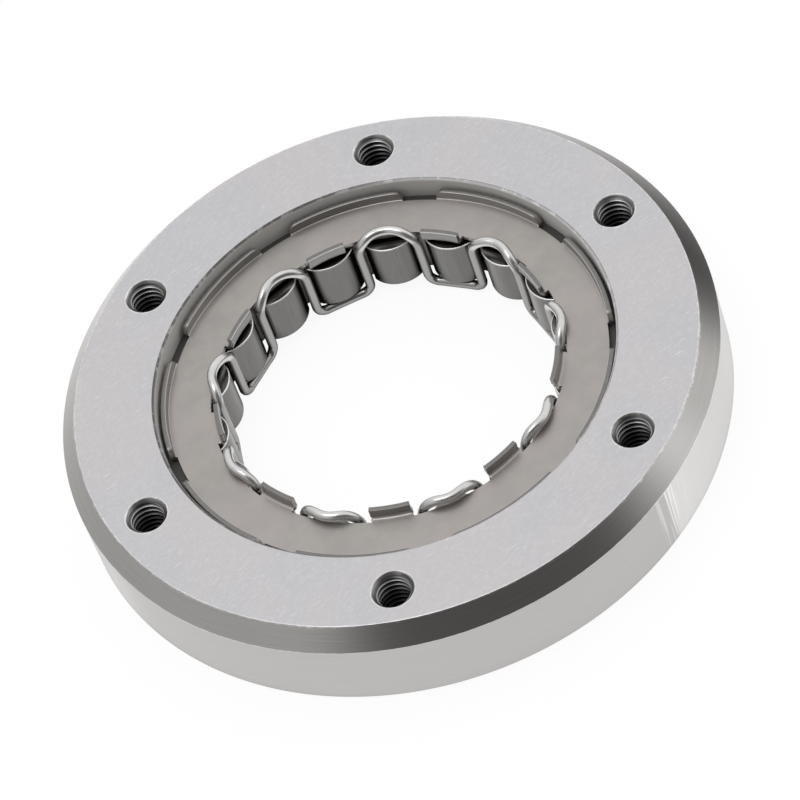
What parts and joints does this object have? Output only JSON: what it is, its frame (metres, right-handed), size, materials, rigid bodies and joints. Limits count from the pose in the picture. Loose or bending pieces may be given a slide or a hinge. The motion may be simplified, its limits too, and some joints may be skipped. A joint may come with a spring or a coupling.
{
  "type": "starter clutch",
  "caption": "One-way starter clutch: bevelled outer race with threaded bolt holes, and a pressed cage of sprags energised by a serpentine wire spring.",
  "frame": {"origin": "centre of the rear face of the outer race, on the clutch axis", "axes": "+Z along the clutch axis, from the rear face towards the front face with the cage flange; +Y towards the first bolt hole"},
  "size_m": [0.1, 0.1, 0.0144],
  "materials": {
    "race_steel": "finely ground",
    "cage_steel": "satin pressed sheet",
    "spring_steel": "drawn bright",
    "sprag_steel": "hardened and tumbled"
  },
  "bodies": {
    "race": {"outer_race": "race_steel"},
    "cage_set": {"cage": "cage_steel", "spring_wire": "spring_steel"},
    "sprag_01": {"sprag_01": "sprag_steel"},
    "sprag_02": {"sprag_02": "sprag_steel"},
    "sprag_03": {"sprag_03": "sprag_steel"},
    "sprag_04": {"sprag_04": "sprag_steel"},
    "sprag_05": {"sprag_05": "sprag_steel"},
    "sprag_06": {"sprag_06": "sprag_steel"},
    "sprag_07": {"sprag_07": "sprag_steel"},
    "sprag_08": {"sprag_08": "sprag_steel"},
    "sprag_09": {"sprag_09": "sprag_steel"},
    "sprag_10": {"sprag_10": "sprag_steel"},
    "sprag_11": {"sprag_11": "sprag_steel"},
    "sprag_12": {"sprag_12": "sprag_steel"},
    "sprag_13": {"sprag_13": "sprag_steel"},
    "sprag_14": {"sprag_14": "sprag_steel"},
    "sprag_15": {"sprag_15": "sprag_steel"},
    "sprag_16": {"sprag_16": "sprag_steel"},
    "sprag_17": {"sprag_17": "sprag_steel"},
    "sprag_18": {"sprag_18": "sprag_steel"}
  },
  "joints": [
    {"name": "cage_spin", "type": "hinge", "parent": "race", "child": "cage_set", "pos_m": [0, 0, 0.0109], "axis": [0, 0, 1], "continuous": true},
    {"name": "sprag_01_tilt", "type": "hinge", "parent": "cage_set", "child": "sprag_01", "pos_m": [0.00029, 0.02794, 0.00592], "axis": [0, 0, 1], "range_deg": [-5, 5], "stiffness_Nm_per_rad": 0.0005},
    {"name": "sprag_02_tilt", "type": "hinge", "parent": "cage_set", "child": "sprag_02", "pos_m": [0.00983, 0.02615, 0.00592], "axis": [0, 0, 1], "range_deg": [-5, 5], "stiffness_Nm_per_rad": 0.0005},
    {"name": "sprag_03_tilt", "type": "hinge", "parent": "cage_set", "child": "sprag_03", "pos_m": [0.01818, 0.02121, 0.00592], "axis": [0, 0, 1], "range_deg": [-5, 5], "stiffness_Nm_per_rad": 0.0005},
    {"name": "sprag_04_tilt", "type": "hinge", "parent": "cage_set", "child": "sprag_04", "pos_m": [0.02434, 0.01372, 0.00592], "axis": [0, 0, 1], "range_deg": [-5, 5], "stiffness_Nm_per_rad": 0.0005},
    {"name": "sprag_05_tilt", "type": "hinge", "parent": "cage_set", "child": "sprag_05", "pos_m": [0.02756, 0.00456, 0.00592], "axis": [0, 0, 1], "range_deg": [-5, 5], "stiffness_Nm_per_rad": 0.0005},
    {"name": "sprag_06_tilt", "type": "hinge", "parent": "cage_set", "child": "sprag_06", "pos_m": [0.02746, -0.00514, 0.00592], "axis": [0, 0, 1], "range_deg": [-5, 5], "stiffness_Nm_per_rad": 0.0005},
    {"name": "sprag_07_tilt", "type": "hinge", "parent": "cage_set", "child": "sprag_07", "pos_m": [0.02405, -0.01422, 0.00592], "axis": [0, 0, 1], "range_deg": [-5, 5], "stiffness_Nm_per_rad": 0.0005},
    {"name": "sprag_08_tilt", "type": "hinge", "parent": "cage_set", "child": "sprag_08", "pos_m": [0.01773, -0.02159, 0.00592], "axis": [0, 0, 1], "range_deg": [-5, 5], "stiffness_Nm_per_rad": 0.0005},
    {"name": "sprag_09_tilt", "type": "hinge", "parent": "cage_set", "child": "sprag_09", "pos_m": [0.00928, -0.02635, 0.00592], "axis": [0, 0, 1], "range_deg": [-5, 5], "stiffness_Nm_per_rad": 0.0005},
    {"name": "sprag_10_tilt", "type": "hinge", "parent": "cage_set", "child": "sprag_10", "pos_m": [-0.00029, -0.02794, 0.00592], "axis": [0, 0, 1], "range_deg": [-5, 5], "stiffness_Nm_per_rad": 0.0005},
    {"name": "sprag_11_tilt", "type": "hinge", "parent": "cage_set", "child": "sprag_11", "pos_m": [-0.00983, -0.02615, 0.00592], "axis": [0, 0, 1], "range_deg": [-5, 5], "stiffness_Nm_per_rad": 0.0005},
    {"name": "sprag_12_tilt", "type": "hinge", "parent": "cage_set", "child": "sprag_12", "pos_m": [-0.01818, -0.02121, 0.00592], "axis": [0, 0, 1], "range_deg": [-5, 5], "stiffness_Nm_per_rad": 0.0005},
    {"name": "sprag_13_tilt", "type": "hinge", "parent": "cage_set", "child": "sprag_13", "pos_m": [-0.02434, -0.01372, 0.00592], "axis": [0, 0, 1], "range_deg": [-5, 5], "stiffness_Nm_per_rad": 0.0005},
    {"name": "sprag_14_tilt", "type": "hinge", "parent": "cage_set", "child": "sprag_14", "pos_m": [-0.02756, -0.00456, 0.00592], "axis": [0, 0, 1], "range_deg": [-5, 5], "stiffness_Nm_per_rad": 0.0005},
    {"name": "sprag_15_tilt", "type": "hinge", "parent": "cage_set", "child": "sprag_15", "pos_m": [-0.02746, 0.00514, 0.00592], "axis": [0, 0, 1], "range_deg": [-5, 5], "stiffness_Nm_per_rad": 0.0005},
    {"name": "sprag_16_tilt", "type": "hinge", "parent": "cage_set", "child": "sprag_16", "pos_m": [-0.02405, 0.01422, 0.00592], "axis": [0, 0, 1], "range_deg": [-5, 5], "stiffness_Nm_per_rad": 0.0005},
    {"name": "sprag_17_tilt", "type": "hinge", "parent": "cage_set", "child": "sprag_17", "pos_m": [-0.01773, 0.02159, 0.00592], "axis": [0, 0, 1], "range_deg": [-5, 5], "stiffness_Nm_per_rad": 0.0005},
    {"name": "sprag_18_tilt", "type": "hinge", "parent": "cage_set", "child": "sprag_18", "pos_m": [-0.00928, 0.02635, 0.00592], "axis": [0, 0, 1], "range_deg": [-5, 5], "stiffness_Nm_per_rad": 0.0005}
  ],
  "couplings": [
    {"joint": "sprag_02_tilt", "follows": "sprag_01_tilt", "ratio": 1},
    {"joint": "sprag_03_tilt", "follows": "sprag_01_tilt", "ratio": 1},
    {"joint": "sprag_04_tilt", "follows": "sprag_01_tilt", "ratio": 1},
    {"joint": "sprag_05_tilt", "follows": "sprag_01_tilt", "ratio": 1},
    {"joint": "sprag_06_tilt", "follows": "sprag_01_tilt", "ratio": 1},
    {"joint": "sprag_07_tilt", "follows": "sprag_01_tilt", "ratio": 1},
    {"joint": "sprag_08_tilt", "follows": "sprag_01_tilt", "ratio": 1},
    {"joint": "sprag_09_tilt", "follows": "sprag_01_tilt", "ratio": 1},
    {"joint": "sprag_10_tilt", "follows": "sprag_01_tilt", "ratio": 1},
    {"joint": "sprag_11_tilt", "follows": "sprag_01_tilt", "ratio": 1},
    {"joint": "sprag_12_tilt", "follows": "sprag_01_tilt", "ratio": 1},
    {"joint": "sprag_13_tilt", "follows": "sprag_01_tilt", "ratio": 1},
    {"joint": "sprag_14_tilt", "follows": "sprag_01_tilt", "ratio": 1},
    {"joint": "sprag_15_tilt", "follows": "sprag_01_tilt", "ratio": 1},
    {"joint": "sprag_16_tilt", "follows": "sprag_01_tilt", "ratio": 1},
    {"joint": "sprag_17_tilt", "follows": "sprag_01_tilt", "ratio": 1},
    {"joint": "sprag_18_tilt", "follows": "sprag_01_tilt", "ratio": 1}
  ]
}
